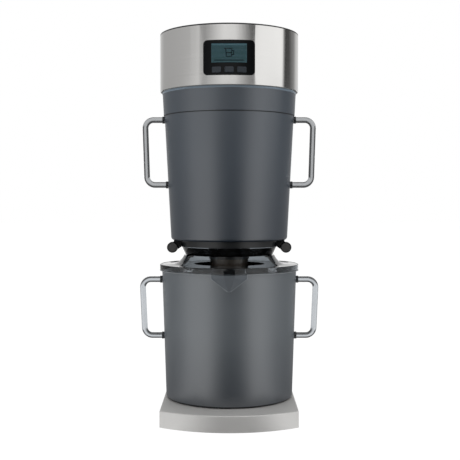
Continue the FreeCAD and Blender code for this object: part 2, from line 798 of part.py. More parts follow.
def make_valve():
    gasket = new_body("port_gasket")
    pad_into(gasket, "port_gasket_sheet", "XY_Plane",
             lambda sketch: circle(sketch, S.port_circle + S.port_radius * 2), S.gasket_thickness,
             offset=gasket_bottom)
    drill_ports(gasket, "port_gasket", 90, gasket_bottom, S.gasket_thickness, S.bolt_radius + S.free_gap)
    keep("port_gasket", gasket)

    ring_in = S.valve_ring_radius - S.valve_ring_wall
    ring = revolved("valve_ring", [
        (0, shutter_bottom), (ring_in, shutter_bottom), (ring_in, dish_top + S.valve_ring_lift),
        (S.valve_ring_radius, dish_top + S.valve_ring_lift), (S.valve_ring_radius, shutter_top),
        (0, shutter_top)])
    arm_low = knob_height - S.valve_arm_drop
    arm_start = S.valve_ring_radius - S.valve_ring_wall / 2
    arm = pad_into(ring, "valve_ring_arm", "XZ_Plane",
                   lambda sketch: outline(sketch, [
                       (arm_start, dish_top + S.valve_ring_lift), (S.knob_centre - S.knob_radius, arm_low),
                       (S.knob_centre, arm_low), (S.knob_centre, knob_height + S.valve_arm_drop),
                       (S.knob_centre - S.valve_arm_slope, shutter_top), (arm_start, shutter_top)]),
                   S.valve_arm_width, offset=-(S.valve_arm_width / 2))
    polar(ring, arm, "valve_ring_arms", S.arm_count)
    drill_ports(ring, "shutter", 30, shutter_bottom - S.overrun, S.shutter_plate + S.overrun * 2,
                S.hub_radius + S.running_gap)
    keep("valve_ring", ring)

    for side, sign in (("right", 1), ("left", -1)):
        name = f"valve_knob_{side}"
        knob = new_body(name)
        place = (S.knob_centre * sign, knob_height)
        pad_into(knob, name + "_barrel", "XZ_Plane",
                 lambda sketch, at=place: circle(sketch, S.knob_radius, *at), S.knob_length,
                 offset=S.valve_arm_width / 2)
        front = S.valve_arm_width / 2 + S.knob_length
        fillet_into(knob, name + "_rounding", S.knob_lip,
                    lambda edge: isinstance(edge.Curve, Part.Circle)
                    and abs(edge.Curve.Center.y + front.value) < 0.01)
        pocket_into(knob, name + "_face", "XZ_Plane",
                    lambda sketch, at=place: circle(sketch, S.knob_radius - S.knob_lip * 1.5, *at),
                    S.knob_face_depth, offset=front)
        keep(name, knob)

    shank_foot = gasket_bottom - S.bolt_engagement
    keep("centre_bolt", revolved("centre_bolt", [
        (0, shank_foot), (S.bolt_radius, shank_foot), (S.bolt_radius, brew_floor_top),
        (S.bolt_head_radius, brew_floor_top), (S.bolt_head_radius, brew_floor_top + S.bolt_head_height),
        (0, brew_floor_top + S.bolt_head_height)]))


def make_brew_vessel():
    foot_out = S.brew_bottom_radius - S.brew_bottom_round
    foot_in = foot_out - S.foot_width
    wall = S.vessel_wall
    body = revolved("brew_vessel", [
        (0, brew_bottom + S.foot_height), (foot_in, brew_bottom + S.foot_height), (foot_in, brew_bottom),
        (S.brew_bottom_radius, brew_bottom), (S.brew_shoulder_radius, brew_shoulder),
        (S.brew_collar_radius, brew_shoulder), (S.brew_rim_radius, brew_rim),
        (S.brew_rim_radius - wall, brew_rim), (S.brew_collar_radius - wall, brew_shoulder + wall),
        (S.brew_shoulder_radius - wall, brew_shoulder), (S.brew_bottom_radius - wall, brew_floor_top),
        (0, brew_floor_top)])
    fillet_into(body, "brew_bottom_rounding", S.brew_bottom_round,
                ring_edge(S.brew_bottom_radius, brew_bottom))
    fillet_into(body, "brew_floor_rounding", S.brew_bottom_round - wall,
                ring_edge(S.brew_bottom_radius - wall, brew_floor_top))
    fillet_into(body, "brew_shoulder_rounding", S.rim_round,
                ring_edge(S.brew_collar_radius, brew_shoulder))
    fillet_into(body, "brew_rim_rounding", S.rim_round, ring_edge(S.brew_rim_radius, brew_rim))
    drill_ports(body, "brew_floor", 90, brew_bottom, S.foot_height + S.floor_wall + S.overrun,
                S.bolt_radius + S.free_gap)
    keep("brew_vessel", body)


def make_floor_filter():
    ring_in = S.filter_radius - S.filter_frame_width
    top = brew_floor_top + S.filter_height
    mesh_top = brew_floor_top + S.filter_mesh_height * 2
    hub_in = S.bolt_head_radius + S.free_gap
    hub_out = hub_in + S.filter_rib_width
    body = new_body("filter_frame")
    revolve_into(body, "filter_frame_ring", [(ring_in, brew_floor_top), (S.filter_radius, brew_floor_top),
                                             (S.filter_radius, top), (ring_in, top)])
    rib = pad_into(body, "filter_frame_rib", "XY_Plane",
                   lambda sketch: rectangle(sketch, hub_in + S.overrun, ring_in + S.overrun,
                                            -(S.filter_rib_width / 2), S.filter_rib_width / 2),
                   top - mesh_top, offset=mesh_top)
    polar(body, rib, "filter_frame_ribs", S.rib_count)
    revolve_into(body, "filter_frame_hub", [
        (hub_in, brew_floor_top), (hub_out, brew_floor_top), (hub_out, top), (hub_in, top)])
    keep("filter_frame", body)
    mesh_in = hub_out + S.running_gap
    mesh_out = ring_in - S.running_gap
    mesh_foot = mesh_top - S.filter_mesh_height
    keep("filter_mesh", revolved("filter_mesh", [
        (mesh_in, mesh_foot), (mesh_out, mesh_foot), (mesh_out, mesh_top), (mesh_in, mesh_top)]))


def rounded_rectangle(sketch, half_width, low, high, corner, middle=0):
    left, right = middle - half_width, middle + half_width
    outline(sketch, [(left + corner, low), (right - corner, low, corner), (right, low + corner),
                     (right, high - corner, corner), (right - corner, high), (left + corner, high, corner),
                     (left, high - corner), (left, low + corner, corner)])


def make_head_shell():
    ring_in = S.ring_radius - S.sheet_wall
    ring = revolved("head_ring", [(ring_in, ring_foot), (S.ring_radius, ring_foot),
                                  (S.ring_radius, ring_top), (ring_in, ring_top)])
    pocket_into(ring, "head_ring_opening", "XZ_Plane",
                lambda sketch: rounded_rectangle(
                    sketch, S.bezel_half_width + S.running_gap, bezel_foot - S.running_gap,
                    bezel_foot + S.bezel_height + S.running_gap, S.bezel_corner),
                S.ring_radius, offset=S.ring_radius / 2, backwards=True)
    keep("head_ring", ring)

    skirt_out = ring_in - S.core_clearance
    cover = revolved("top_cover", [
        (0, cover_under), (skirt_out - S.vessel_wall, cover_under),
        (skirt_out - S.vessel_wall, cover_under - S.cover_skirt), (skirt_out, cover_under - S.cover_skirt),
        (skirt_out, ring_top), (S.ring_radius, ring_top), (S.ring_radius, cover_top), (0, cover_top)])
    fillet_into(cover, "top_cover_rounding", S.cover_edge_round, ring_edge(S.ring_radius, cover_top))
    keep("top_cover", cover)

    spigot_foot = brew_rim - S.chassis_spigot_drop
    spigot_out = wall_radius(brew_shoulder + S.vessel_wall, S.brew_collar_radius - S.vessel_wall, brew_rim,
                             S.brew_rim_radius - S.vessel_wall, spigot_foot) - S.chassis_spigot_gap
    spigot_in = spigot_out - S.chassis_spigot_wall
    chassis = revolved("head_chassis", [
        (S.shaft_seal_radius + S.running_gap, head_seal_top),
        (spigot_in, head_seal_top), (spigot_in, spigot_foot), (spigot_out, spigot_foot),
        (spigot_out, head_seal_top),
        (skirt_out, head_seal_top), (skirt_out, chassis_top),
        (S.shaft_seal_radius + S.running_gap, chassis_top)])
    bracket_front = -(S.board_depth - S.board_thickness)
    pad_into(chassis, "panel_bracket", "XY_Plane",
             lambda sketch: rectangle(sketch, -S.bezel_half_width, S.bezel_half_width, bracket_front,
                                      bracket_front + S.bracket_thickness),
             bezel_foot + S.bezel_height - head_seal_top - S.board_thickness, offset=head_seal_top)
    spread = math.sqrt(0.5)
    post = pad_into(chassis, "cover_post", "XY_Plane",
                    lambda sketch: circle(sketch, S.post_radius, S.post_circle * spread,
                                          S.post_circle * spread),
                    cover_under - head_seal_top, offset=head_seal_top)
    polar(chassis, post, "cover_posts", S.post_count)
    bore = pocket_into(chassis, "post_bore", "XY_Plane",
                       lambda sketch: circle(sketch, S.screw_radius + S.running_gap,
                                             S.post_circle * spread, S.post_circle * spread),
                       S.screw_length + S.overrun, offset=head_seal_top, backwards=True)
    polar(chassis, bore, "post_bores", S.post_count)
    keep("head_chassis", chassis)

    screws = []
    for number, (across, along) in enumerate(((1, 1), (-1, 1), (-1, -1), (1, -1)), 1):
        place = (S.post_circle * (across * spread), S.post_circle * (along * spread))
        head = solid_cylinder(f"screw_head_{number}", S.screw_head_radius,
                              head_seal_top - S.screw_head_height, S.screw_head_height, *place)
        shank = solid_cylinder(f"screw_shank_{number}", S.screw_radius,
                               head_seal_top - S.screw_head_height, S.screw_length, *place)
        screws.append(fused(f"screw_{number}", [head, shank]))
    keep("chassis_screws", fused("chassis_screws", screws))

    keep("head_seal", revolved("head_seal", [
        (spigot_out + S.core_clearance, brew_rim), (S.brew_rim_radius, brew_rim),
        (S.brew_rim_radius, head_seal_top), (spigot_out + S.core_clearance, head_seal_top)]))
    keep("shaft_seal", revolved("shaft_seal", [
        (S.shaft_radius + S.running_gap, head_seal_top), (S.shaft_seal_radius, head_seal_top),
        (S.shaft_seal_radius, chassis_top), (S.shaft_radius + S.running_gap, chassis_top)]))


def make_control_panel():
    body = new_body("bezel_block")
    back = S.bezel_back_depth
    depth = bezel_radius - back
    pad_into(body, "bezel_face", "XZ_Plane",
             lambda sketch: rounded_rectangle(sketch, S.bezel_half_width, bezel_foot,
                                              bezel_foot + S.bezel_height, S.bezel_corner),
             depth, offset=back)
    leg_out = S.bezel_half_width - S.bezel_leg_inset
    leg_low = bezel_foot + S.bezel_corner
    for side, sign in (("right", 1), ("left", -1)):
        near, far = sorted((leg_out * sign, (leg_out - S.bezel_leg_width) * sign), key=lambda s: s.value)
        pad_into(body, f"bezel_leg_{side}", "XZ_Plane",
                 lambda sketch, a=near, b=far: rectangle(sketch, a, b, leg_low, leg_low + S.bezel_leg_height),
                 back - S.board_depth + S.board_thickness, offset=back, backwards=True)
    pocket_into(body, "window_opening", "XZ_Plane",
                lambda sketch: rectangle(sketch, -(S.window_width / 2), S.window_width / 2, window_foot,
                                         window_foot + S.window_height),
                depth, offset=back, backwards=True)
    gap = S.button_hole_gap
    places = (("left", -1), ("centre", 0), ("right", 1))
    for side, step in places:
        middle = S.button_pitch * step
        pocket_into(body, f"button_hole_{side}", "XZ_Plane",
                    lambda sketch, at=middle: rounded_rectangle(
                        sketch, S.button_width / 2 + gap, button_middle - S.button_height / 2 - gap,
                        button_middle + S.button_height / 2 + gap, S.button_corner, at),
                    depth, offset=back, backwards=True)
    envelope = solid_cylinder("bezel_envelope", bezel_radius, bezel_foot - S.overrun,
                              S.bezel_height + S.overrun * 2)
    bezel = doc.addObject("Part::Common", "control_bezel")
    bezel.Base = body
    bezel.Tool = envelope
    keep("control_bezel", bezel)

    window_front = bezel_radius - S.window_recess
    clear = S.running_gap
    keep("display_window", solid_box(
        "display_window",
        (clear - S.window_width / 2, -window_front, window_foot + clear),
        (S.window_width / 2 - clear, S.window_thickness - window_front,
         window_foot + S.window_height - clear)))
    keep("lcd_module", solid_box(
        "lcd_module",
        (clear - S.window_width / 2, S.window_thickness - window_front, window_foot + clear),
        (S.window_width / 2 - clear, -S.board_depth, window_foot + S.window_height - clear)))
    board_low = bezel_foot + S.board_above_bezel_foot
    keep("control_board", solid_box(
        "control_board", (-S.board_half_width, -S.board_depth, board_low),
        (S.board_half_width, S.board_thickness - S.board_depth, board_low + S.board_height)))

    flange_front = back - S.button_free_play
    flange_back = flange_front - S.button_flange_depth
    reach = S.button_flange_reach
    switches = []
    for side, step in places:
        middle = S.button_pitch * step
        name = f"button_{side}"
        button = new_body(name + "_block")
        pad_into(button, name + "_cap", "XZ_Plane",
                 lambda sketch, at=middle: rounded_rectangle(
                     sketch, S.button_width / 2, button_middle - S.button_height / 2,
                     button_middle + S.button_height / 2, S.button_corner, at),
                 bezel_radius + S.button_proud - flange_back, offset=flange_back)
        pad_into(button, name + "_flange", "XZ_Plane",
                 lambda sketch, at=middle: rectangle(
                     sketch, at - S.button_width / 2 - reach, at + S.button_width / 2 + reach,
                     button_middle - S.button_height / 2 - reach,
                     button_middle + S.button_height / 2 + reach),
                 S.button_flange_depth, offset=flange_back)
        front = solid_cylinder(name + "_envelope", bezel_radius + S.button_proud, bezel_foot - S.overrun,
                               S.bezel_height)
        cap = doc.addObject("Part::Common", name)
        cap.Base = button
        cap.Tool = front
        keep(name, cap)
        half = S.switch_width / 2
        switches.append(solid_box(
            f"switch_{side}",
            (middle - half, S.button_travel + S.button_free_play - flange_back, button_middle - half),
            (middle + half, -S.board_depth, button_middle + half)))
    keep("button_switches", fused("button_switches", switches))


def make_drive():
    gearbox_top = chassis_top + S.gearbox_height
    bore = S.shaft_radius + S.running_gap
    socket_top = chassis_top + S.shaft_engagement + S.shaft_end_play
    gearbox = revolved("gearbox", [
        (bore, chassis_top), (S.gearbox_radius, chassis_top), (S.gearbox_radius, gearbox_top),
        (0, gearbox_top), (0, socket_top), (bore, socket_top)])
    keep("gearbox", gearbox)
    motor_top = gearbox_top + S.motor_height
    boss_top = motor_top + S.motor_boss_height
    motor = revolved("drive_motor", [
        (0, gearbox_top), (S.motor_radius, gearbox_top), (S.motor_radius, motor_top),
        (S.shaft_seal_radius, motor_top), (S.shaft_seal_radius, boss_top), (0, boss_top)])
    keep("drive_motor", motor)
    shaft_foot = brew_floor_top + S.shaft_foot_height
    keep("agitator_shaft", solid_cylinder("agitator_shaft", S.shaft_radius, shaft_foot,
                                          chassis_top + S.shaft_engagement - shaft_foot))
    paddle = new_body("agitator_paddle")
    pad_into(paddle, "paddle_hub", "XY_Plane", lambda sketch: circle(sketch, S.paddle_hub_radius),
             S.paddle_hub_height, offset=shaft_foot)
    blade_foot = shaft_foot + (S.paddle_hub_height - S.paddle_blade_height) / 2
    blade_top = blade_foot + S.paddle_blade_height
    lean = S.paddle_blade_height * sine(S.paddle_blade_pitch) / 2
    half = S.paddle_blade_thickness / 2
    blade = pad_into(paddle, "paddle_blade", "YZ_Plane",
                     lambda sketch: outline(sketch, [(-lean - half, blade_foot), (half - lean, blade_foot),
                                                     (lean + half, blade_top), (lean - half, blade_top)]),
                     S.paddle_radius - S.paddle_blade_root, offset=S.paddle_blade_root)
    polar(paddle, blade, "paddle_blades", S.blade_count)
    pocket_into(paddle, "paddle_bore", "XY_Plane",
                lambda sketch: circle(sketch, S.shaft_radius + S.running_gap),
                S.paddle_hub_height + S.overrun, offset=shaft_foot - S.overrun, backwards=True)
    keep("agitator_paddle", paddle)


def make_batteries():
    half_row = S.cell_pitch * (S.cell_count - 1) / 2
    side = S.cell_radius + S.holder_wall
    low = (-half_row - side, S.cell_row_depth - side, chassis_top)
    high = (half_row + side, S.cell_row_depth + side, chassis_top + S.holder_height)
    tray = solid_box("holder_block", low, high)
    wells, cells = [], []
    floor = chassis_top + S.holder_wall
    for number in range(whole_numbers["cell_count"]):
        across = S.cell_pitch * number - half_row
        wells.append(solid_cylinder(f"cell_well_{number + 1}", S.cell_radius + S.running_gap, floor,
                                    S.holder_height, across, S.cell_row_depth))
        cells.append(solid_cylinder(f"cell_{number + 1}", S.cell_radius, floor, S.cell_height, across,
                                    S.cell_row_depth))
    keep("battery_holder", cut("battery_holder", tray, fused("cell_wells", wells)))
    keep("battery_cells", fused("battery_cells", cells))


make_base_pad()
make_base_housing()
make_base_core()
make_pitcher_vessel()
make_handles("pitcher", [base_top + S.pitcher_handle_top, base_top + S.pitcher_handle_bottom],
             (S.pitcher_grip_top, S.pitcher_grip_bottom), pitcher_wall)
make_pitcher_lid()
make_receiver()
make_valve()
make_brew_vessel()
make_handles("brew", [brew_bottom + S.brew_handle_top, brew_bottom + S.brew_handle_bottom],
             (S.brew_grip_top, S.brew_grip_bottom), brew_wall)
make_floor_filter()
make_head_shell()
make_control_panel()
make_drive()
make_batteries()

doc.recompute()
for thing in doc.Objects:
    bad = [word for word in thing.State if word in ("Invalid", "Error")]
    if bad:
        raise RuntimeError(f"{thing.Name} is {bad}")
for node, thing in parts.items():
    if thing.Shape.isNull() or not thing.Shape.isValid() or not thing.Shape.Solids:
        raise RuntimeError(f"{node} has no valid solid")

os.makedirs("parts", exist_ok=True)
for node, thing in parts.items():
    thing.Shape.exportStep(f"parts/{node}.step")
print(f"{len(parts)} parts written")
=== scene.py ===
import math

import bmesh
import bpy
from mathutils import Matrix, Vector


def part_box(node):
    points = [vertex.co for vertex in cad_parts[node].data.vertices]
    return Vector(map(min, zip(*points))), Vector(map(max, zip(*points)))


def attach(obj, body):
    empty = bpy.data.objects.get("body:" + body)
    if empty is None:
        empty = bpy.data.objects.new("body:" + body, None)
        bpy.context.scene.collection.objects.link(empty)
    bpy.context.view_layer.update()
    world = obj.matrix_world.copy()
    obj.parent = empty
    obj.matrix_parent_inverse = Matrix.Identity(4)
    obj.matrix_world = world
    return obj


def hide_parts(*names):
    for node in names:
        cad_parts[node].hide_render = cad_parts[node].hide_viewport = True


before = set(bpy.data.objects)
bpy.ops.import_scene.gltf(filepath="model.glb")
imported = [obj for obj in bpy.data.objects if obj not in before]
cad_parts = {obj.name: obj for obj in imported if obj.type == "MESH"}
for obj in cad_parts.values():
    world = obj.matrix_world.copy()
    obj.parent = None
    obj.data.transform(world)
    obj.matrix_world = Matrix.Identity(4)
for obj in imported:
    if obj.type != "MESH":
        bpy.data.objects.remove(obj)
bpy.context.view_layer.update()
print("frame loaded:", len(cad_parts), "nodes")

mm = 0.001  # lengths are in mm for meshes and pieces, in metres for looks, studio, soft boxes and camera


# meshes

meshValues = {
    "sharpAngle": 32,
    "mergeGap": 0.002,
    "seamGap": 0.001,
    "cutGap": 0.0001,
    "turnSteps": 144,
}


def asPiece(bm, name, materials, body, replaces=(), sharpAngle=meshValues["sharpAngle"]):
    for face in bm.faces:
        face.smooth = True
    for edge in bm.edges:
        edge.smooth = len(edge.link_faces) == 2 and edge.calc_face_angle() < math.radians(sharpAngle)
    mesh = bpy.data.meshes.new(name)
    bm.to_mesh(mesh)
    bm.free()
    piece = bpy.data.objects.new(name, mesh)
    bpy.context.collection.objects.link(piece)
    for material in materials:
        mesh.materials.append(material)
    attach(piece, body)
    if replaces:
        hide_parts(*replaces)


def mergedCopy(nodeName):
    bm = bmesh.new()
    bm.from_mesh(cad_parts[nodeName].data)
    bmesh.ops.remove_doubles(bm, verts=bm.verts, dist=meshValues["mergeGap"] * mm)
    return bm


def cutAt(bm, height):
    # adds a level line round the mesh, so that two materials can meet on it
    bmesh.ops.bisect_plane(bm, geom=bm.verts[:] + bm.edges[:] + bm.faces[:], dist=meshValues["cutGap"] * mm,
                           plane_co=(0, 0, height), plane_no=(0, 0, 1))


def turnedRing(profile):
    # spins a closed profile of (radius, height) round the axis
    bm = bmesh.new()
    corners = [bm.verts.new((radius * mm, 0, height * mm)) for radius, height in profile + profile[:1]]
    for first, second in zip(corners, corners[1:]):
        bm.edges.new((first, second))
    bmesh.ops.spin(bm, geom=bm.verts[:] + bm.edges[:], cent=(0, 0, 0), axis=(0, 0, 1),
                   angle=math.tau, steps=meshValues["turnSteps"], use_merge=True)
    bmesh.ops.remove_doubles(bm, verts=bm.verts, dist=meshValues["seamGap"] * mm)
    bmesh.ops.recalc_face_normals(bm, faces=bm.faces)
    return bm


# material building blocks

def newMaterial(name):
    material = bpy.data.materials.new(name)
    material.use_nodes = True
    material.node_tree.nodes.clear()
    return material


def addNode(owner, kind, **settings):
    node = owner.node_tree.nodes.new(kind)
    for key, value in settings.items():
        setattr(node, key, value)
    return node


def link(owner, source, target):
    owner.node_tree.links.new(source, target)


def setOrLink(owner, value, socket):
    if isinstance(value, bpy.types.NodeSocket):
        link(owner, value, socket)
    else:
        socket.default_value = value


def mathOf(owner, operation, first, second):
    node = addNode(owner, "ShaderNodeMath", operation=operation)
    setOrLink(owner, first, node.inputs[0])
    setOrLink(owner, second, node.inputs[1])
    return node.outputs["Value"]


def linearOf(hexText):
    channels = [int(hexText[i:i + 2], 16) / 255 for i in (0, 2, 4)]
    return tuple(c / 12.92 if c <= 0.04045 else ((c + 0.055) / 1.055) ** 2.4 for c in channels)


def toned(colour, factor):
    return (*(min(c * factor, 1) for c in colour), 1)


def scaledPlace(material, scale):
    coords = addNode(material, "ShaderNodeTexCoord")
    mapping = addNode(material, "ShaderNodeMapping")
    mapping.inputs["Scale"].default_value = scale
    link(material, coords.outputs["Object"], mapping.inputs["Vector"])
    return mapping.outputs["Vector"]


def noiseOn(material, vector, scale, detail, rough=0.5):
    noise = addNode(material, "ShaderNodeTexNoise")
    noise.inputs["Scale"].default_value = scale
    noise.inputs["Detail"].default_value = detail
    noise.inputs["Roughness"].default_value = rough
    link(material, vector, noise.inputs["Vector"])
    return noise.outputs["Fac"]


def ranged(owner, value, low, high, fromLow=0.3, fromHigh=0.7):
    node = addNode(owner, "ShaderNodeMapRange")
    for socket, number in (("From Min", fromLow), ("From Max", fromHigh), ("To Min", low), ("To Max", high)):
        node.inputs[socket].default_value = number
    link(owner, value, node.inputs["Value"])
    return node.outputs["Result"]


def blended(owner, factor, first, second):
    # a Mix node takes its two colours at sockets 6 and 7 and gives the mixed colour at 2
    node = addNode(owner, "ShaderNodeMix", data_type="RGBA")
    link(owner, factor, node.inputs["Factor"])
    setOrLink(owner, first, node.inputs[6])
    setOrLink(owner, second, node.inputs[7])
    return node.outputs[2]


def pickedNumber(material, mask, whenOff, whenOn):
    # a Mix node takes its two numbers at sockets 2 and 3
    pick = addNode(material, "ShaderNodeMix", data_type="FLOAT")
    link(material, mask, pick.inputs[0])
    setOrLink(material, whenOff, pick.inputs[2])
    setOrLink(material, whenOn, pick.inputs[3])
    return pick.outputs[0]


def shaded(material, colour, roughness, height, bump, bumpDepth, **sockets):
    shader = addNode(material, "ShaderNodeBsdfPrincipled")
    output = addNode(material, "ShaderNodeOutputMaterial")
    link(material, colour, shader.inputs["Base Color"])
    link(material, roughness, shader.inputs["Roughness"])
    for socketName, value in sockets.items():
        setOrLink(material, value, shader.inputs[socketName.replace("_", " ")])
    bumpNode = addNode(material, "ShaderNodeBump")
    bumpNode.inputs["Strength"].default_value = bump
    bumpNode.inputs["Distance"].default_value = bumpDepth
    link(material, height, bumpNode.inputs["Height"])
    link(material, bumpNode.outputs["Normal"], shader.inputs["Normal"])
    link(material, shader.outputs["BSDF"], output.inputs["Surface"])
    return material


# moulded plastics: fine grain, slow changes of tone, faint handling scuffs in the gloss

plasticLook = {
    "grain": 2200,
    "bumpDepth": 0.0002,
    "cloud": 11,
    "toneSpread": 0.05,
    "roughSpread": 0.04,
    "leastRough": 0.02,
    "scuff": 130,
    "scuffStretch": (1, 1, 0.35),
    "scuffFrom": (0.55, 0.75),
    "scuffRough": 0.02,
}


def plastic(name, hexColour, roughness, grain=0.1, heightFade=None, **sockets):
    # a height fade, given as (colour painted in, height where it is full, height where it has gone), heights
    # in mm, paints colour by height: painted shade towards the pitcher's foot, a darkening towards the brew
    # vessel's bottom, painted light towards the display's bottom
    v = plasticLook
    material = newMaterial(name)
    place = scaledPlace(material, (1, 1, 1))
    cloud = noiseOn(material, place, v["cloud"], detail=3)
    base = linearOf(hexColour)
    colour = blended(material, ranged(material, cloud, 0, 1), toned(base, 1 - v["toneSpread"]),
                     toned(base, 1 + v["toneSpread"]))
    # painted shade or light by height: the colour fades in towards the lower height
    if heightFade:
        fadeHex, fadeFull, gone = heightFade
        split = addNode(material, "ShaderNodeSeparateXYZ")
        link(material, place, split.inputs["Vector"])
        depth = ranged(material, split.outputs["Z"], 1, 0, fadeFull * mm, gone * mm)
        colour = blended(material, depth, colour, toned(linearOf(fadeHex), 1))
    scuffs = noiseOn(material, scaledPlace(material, v["scuffStretch"]), v["scuff"], detail=5, rough=0.7)
    smoothest = max(roughness - v["roughSpread"], v["leastRough"])
    rough = mathOf(material, "ADD", ranged(material, cloud, smoothest, roughness),
                   ranged(material, scuffs, 0, v["scuffRough"], *v["scuffFrom"]))
    return shaded(material, colour, rough, noiseOn(material, place, v["grain"], detail=1), grain,
                  v["bumpDepth"], **sockets)


# brushed steel: hair lines that follow the sheet, over slow changes of the sheen

steelLook = {
    "tone": "d2d1cf",
    "slow": 5,
    "fast": 1700,
    "sheenScale": 9,
    "sheenSpread": (0.9, 1.1),
    "hairSpread": (0.85, 1.2),
    "toneSpread": 0.025,
    "bump": 0.05,
    "bumpDepth": 0.00004,
    "flatFrom": 0.6,
    "flatMetal": 0.62,
    "wallMetal": 0.4,
    "flatRough": 1.7,
}


def levelFaces(material):
    # 1 where a surface lies flat, 0 on its walls
    coords = addNode(material, "ShaderNodeTexCoord")
    split = addNode(material, "ShaderNodeSeparateXYZ")
    link(material, coords.outputs["Normal"], split.inputs["Vector"])
    return mathOf(material, "GREATER_THAN", split.outputs["Z"], steelLook["flatFrom"])


def brushedSteel(name, roughness, direction, **sockets):
    # direction "round" runs level round a wall, "across" runs along X on the top and level on the walls
    v = steelLook
    material = newMaterial(name)
    slow, fast = v["slow"], v["fast"]
    hair = noiseOn(material, scaledPlace(material, (slow, slow, fast)), scale=1, detail=5, rough=0.6)
    metal = 1.0
    if direction == "across":
        flat = levelFaces(material)
        flatHair = noiseOn(material, scaledPlace(material, (slow, fast, slow)), scale=1, detail=5, rough=0.6)
        hair = pickedNumber(material, flat, hair, flatHair)
        metal = pickedNumber(material, flat, v["wallMetal"], v["flatMetal"])
    base = linearOf(v["tone"])
    colour = blended(material, ranged(material, hair, 0, 1), toned(base, 1 - v["toneSpread"]),
                     toned(base, 1 + v["toneSpread"]))
    sheen = noiseOn(material, scaledPlace(material, (v["sheenScale"],) * 3), scale=1, detail=2)
    low, high = v["hairSpread"]
    rough = mathOf(material, "MULTIPLY", ranged(material, hair, roughness * low, roughness * high),
                   ranged(material, sheen, *v["sheenSpread"]))
    if direction == "across":
        rough = mathOf(material, "MULTIPLY", rough, pickedNumber(material, flat, 1.0, v["flatRough"]))
    return shaded(material, colour, rough, hair, v["bump"], v["bumpDepth"], Metallic=metal, **sockets)


# clear smoky plastic: collar, cradle, receiver bowl and handle rods; a rod bends the light, so its middle
# shows what is behind it and its sides show what is beside it

clearLook = {
    "cloud": 40,
    "toneSpread": 0.04,
    "roughSpread": (0.8, 1.2),
    "ripple": 300,
    "rippleBump": 0.01,
    "bumpDepth": 0.0002,
    "wallIor": 1.46,
    "rodIor": 1.49,
    "rodRoughness": 0.03,
}


def clearPlastic(name, hexTint, roughness, ior, **sockets):
    v = clearLook
    material = newMaterial(name)
    place = scaledPlace(material, (1, 1, 1))
    cloud = noiseOn(material, place, v["cloud"], detail=3)
    tint = linearOf(hexTint)
    colour = blended(material, ranged(material, cloud, 0, 1), toned(tint, 1 - v["toneSpread"]), toned(tint, 1))
    low, high = v["roughSpread"]
    return shaded(material, colour, ranged(material, cloud, roughness * low, roughness * high),
                  noiseOn(material, place, v["ripple"], detail=1), v["rippleBump"], v["bumpDepth"],
                  Transmission_Weight=1.0, IOR=ior, **sockets)


def clearWall(name, hexTint, roughness, **sockets):
    return clearPlastic(name, hexTint, roughness, clearLook["wallIor"], **sockets)


def clearRod(name, hexTint):
    return clearPlastic(name, hexTint, clearLook["rodRoughness"], clearLook["rodIor"])


headSteel = brushedSteel("headSteel", 0.12, "round", Anisotropic=0.6, Anisotropic_Rotation=0.25)
sheetSteel = brushedSteel("sheetSteel", 0.4, "across")
plainSteel = brushedSteel("plainSteel", 0.3, "round")
# the brew vessel is painted darker towards its bottom by height
brewSmoke = plastic("brewSmoke", "2a3540", 0.37, heightFade=("1c2733", 304, 440),
                    Specular_IOR_Level=1.0, IOR=1.62)
# the pitcher's wall is painted darker towards the foot: painted shade
pitcherSmoke = plastic("pitcherSmoke", "4c5359", 0.38, heightFade=("242c35", 28, 150),
                       Specular_IOR_Level=1.0, IOR=1.7)
# a paler, duller copy of the pitcher plastic for the spout's facets: the paler colour is painted light,
# standing in for the reflections taken off them
spoutLitSmoke = plastic("spoutLitSmoke", "5d6267", 0.6, Specular_IOR_Level=0.2)
# light plastic for the painted highlights on the spout's creases
edgeHighlightSmoke = plastic("edgeHighlightSmoke", "8a8f93", 0.3)
# light plastic for the painted highlight along the brew vessel's top edge
rimHighlightSmoke = plastic("rimHighlightSmoke", "6d7b87", 0.3)
collarClear = clearWall("collarClear", "b9c0c6", 0.06, Specular_IOR_Level=0.12)
cradleClear = clearWall("cradleClear", "868c91", 0.1, Specular_IOR_Level=0.3)
bowlClear = clearWall("bowlClear", "8d9399", 0.08)
windowClear = plastic("windowClear", "14191a", 0.04, grain=0.01, Alpha=0.1, Specular_IOR_Level=0.3)
rodLower = clearRod("rodLower", "c3c7cb")
rodUpper = clearRod("rodUpper", "a9abad")
lidBlack = plastic("lidBlack", "05080a", 0.16, grain=0.02, Specular_IOR_Level=0.05)
lidGloss = plastic("lidGloss", "0a0d10", 0.07, grain=0.01)
valveBlack = plastic("valveBlack", "101316", 0.3, grain=0.06)
coverBlack = plastic("coverBlack", "17181a", 0.42)
bezelBlack = plastic("bezelBlack", "07090b", 0.14, grain=0.02, Specular_IOR_Level=0.14)
ferruleBlack = plastic("ferruleBlack", "12171c", 0.3)
knobGrey = plastic("knobGrey", "454443", 0.55, grain=0.2)
tubeSmoke = plastic("tubeSmoke", "4b443c", 0.25)
rubberBlack = plastic("rubberBlack", "161616", 0.7, grain=0.3)
siliconeGrey = plastic("siliconeGrey", "a2a29f", 0.5)
boardGreen = plastic("boardGreen", "1d5a35", 0.4)
buttonSlate = plastic("buttonSlate", "242b32", 0.26, Specular_IOR_Level=0.45)
cellBlue = plastic("cellBlue", "3b4a72", 0.3)
# the display is painted lighter towards its bottom by height, and glows: the glow stands for a backlight and
# also lifts the crystal where the window and the bezel's recess shade it, so it is partly painted light
lcdTeal = plastic("lcdTeal", "465d65", 0.5, grain=0.02, heightFade=("68868d", 594, 622), Specular_IOR_Level=0.1,
                  Emission_Color=(*linearOf("54737c"), 1), Emission_Strength=0.55)
lcdDark = plastic("lcdDark", "06090b", 0.5, grain=0.02, Specular_IOR_Level=0.1)
print("materials made:", len(bpy.data.materials))


